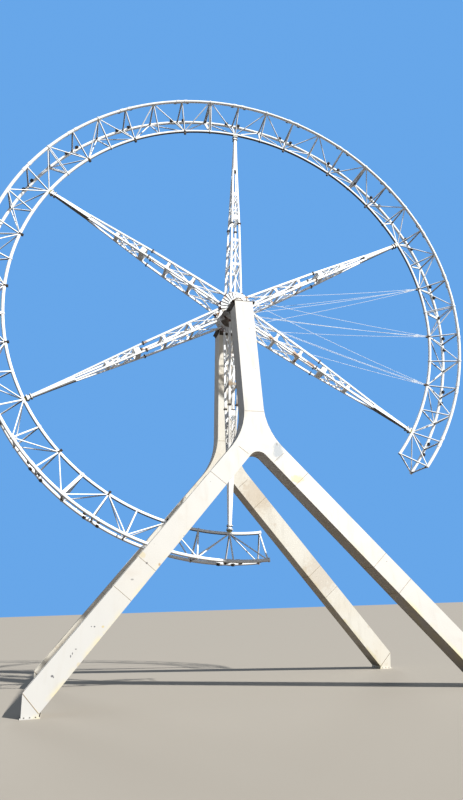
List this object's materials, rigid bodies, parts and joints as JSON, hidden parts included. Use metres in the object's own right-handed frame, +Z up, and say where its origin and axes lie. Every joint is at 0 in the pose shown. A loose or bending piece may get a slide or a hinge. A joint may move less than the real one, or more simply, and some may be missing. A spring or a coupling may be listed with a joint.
{
  "type": "ferris wheel without cabins, 1:2 scale model",
  "caption": "Fairground wheel on forked box-section towers: lattice rim in bolted segments with a gap, tapered lattice spokes, hub, axle and stay cables; no cabins; scale model at half size.",
  "frame": {"origin": "on the ground midway between the four feet, under the middle of the axle", "axes": "+X to the right seen from the front, +Y towards the back tower along the axle, +Z up"},
  "size_m": [17.65, 7.2, 21.225],
  "materials": {
    "tower_paint": "weathered off-white paint with grey streaks and ochre rust stains",
    "wheel_paint": "white paint, chipped and rust-spotted at joints",
    "dark_steel": "dark brown oily steel",
    "bare_steel": "machined steel",
    "cable_steel": "galvanised wire rope"
  },
  "bodies": {
    "root": {"front_tower_mast": "tower_paint", "front_tower_fork": "tower_paint", "front_left_leg": "tower_paint", "front_left_foot": "tower_paint", "front_right_leg": "tower_paint", "front_right_foot": "tower_paint", "front_bearing_seat": "dark_steel", "front_bearing_housing": "dark_steel", "back_tower_mast": "tower_paint", "back_tower_fork": "tower_paint", "back_left_leg": "tower_paint", "back_left_foot": "tower_paint", "back_right_leg": "tower_paint", "back_right_foot": "tower_paint", "back_bearing_seat": "dark_steel", "back_bearing_housing": "dark_steel"},
    "wheel": {"main_axle": "bare_steel", "hub_drum": "dark_steel", "front_hub_flange": "wheel_paint", "back_hub_flange": "wheel_paint", "spoke_000_inner_truss": "wheel_paint", "spoke_000_outer_truss": "wheel_paint", "spoke_060_inner_truss": "wheel_paint", "spoke_060_outer_truss": "wheel_paint", "spoke_120_inner_truss": "wheel_paint", "spoke_120_outer_truss": "wheel_paint", "spoke_180_inner_truss": "wheel_paint", "spoke_180_outer_truss": "wheel_paint", "spoke_240_inner_truss": "wheel_paint", "spoke_240_outer_truss": "wheel_paint", "spoke_300_inner_truss": "wheel_paint", "spoke_300_outer_truss": "wheel_paint", "rim_segment_1": "wheel_paint", "rim_segment_2": "wheel_paint", "rim_segment_3": "wheel_paint", "rim_segment_5": "wheel_paint", "rim_segment_6": "wheel_paint", "rim_segment_7": "wheel_paint", "rim_segment_8": "wheel_paint", "stay_cables_075": "cable_steel", "stay_cables_090": "cable_steel", "stay_cables_105": "cable_steel"}
  },
  "joints": [
    {"name": "wheel_turn", "type": "hinge", "parent": "root", "child": "wheel", "pos_m": [0, 0, 12.4], "axis": [0, 1, 0], "continuous": true}
  ]
}
